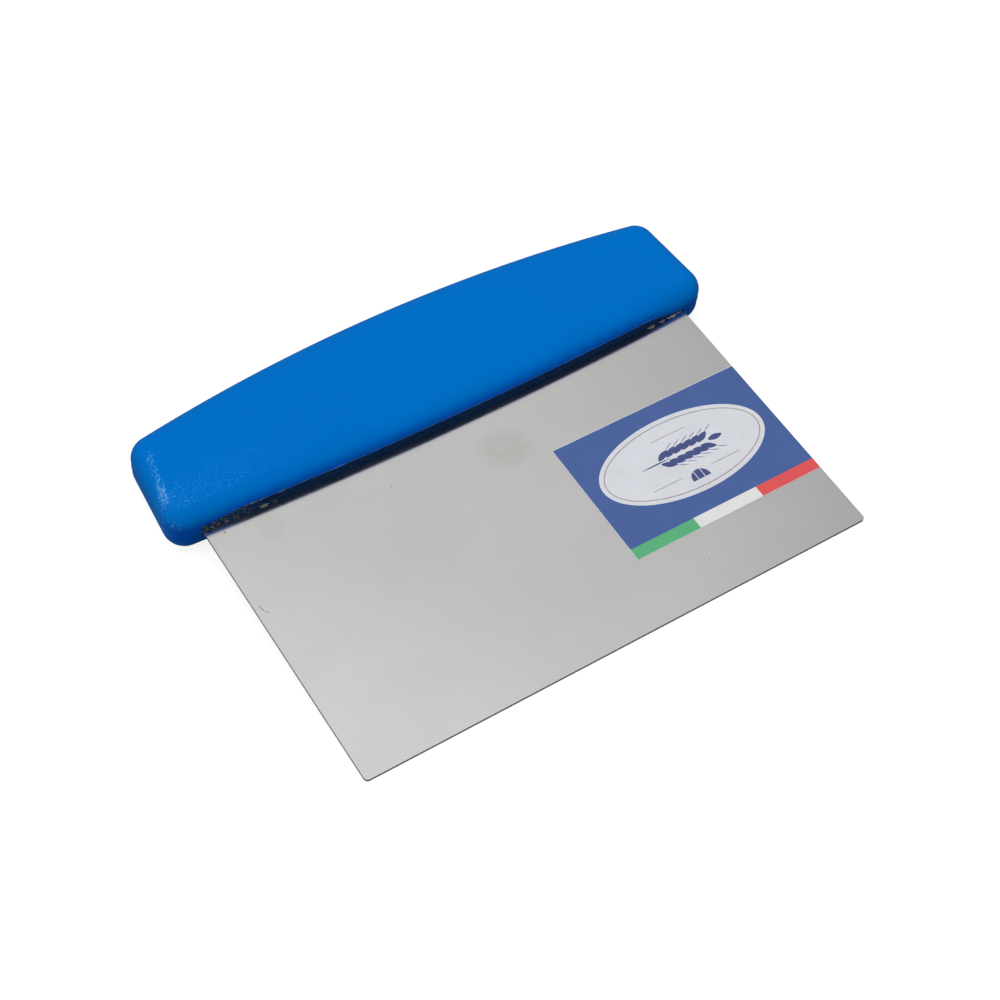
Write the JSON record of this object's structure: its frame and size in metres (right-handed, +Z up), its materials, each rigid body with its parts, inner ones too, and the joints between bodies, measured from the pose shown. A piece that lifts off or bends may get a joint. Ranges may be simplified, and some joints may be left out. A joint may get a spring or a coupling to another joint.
{
  "type": "bench scraper",
  "caption": "Flat rectangular steel sheet blade held in a bowed, round-edged moulded plastic grip, with a printed film label; cuts dough and scrapes worktops.",
  "frame": {"origin": "on the bench surface, under the middle of the scraper's box", "axes": "+X along the cutting edge towards the labelled end, +Y from the cutting edge back to the handle's crown, +Z up off the bench"},
  "size_m": [0.1662, 0.1198, 0.0182],
  "materials": {
    "blade_steel": "fine satin stainless sheet, nearly mirror at a low angle",
    "handle_plastic": "bright blue polypropylene with a fine moulded stipple",
    "label_film": "semi-gloss printed film: blue ground, white badge, strip in three colours"
  },
  "bodies": {
    "root": {"blade": "blade_steel", "handle": "handle_plastic", "label": "label_film"}
  },
  "joints": []
}
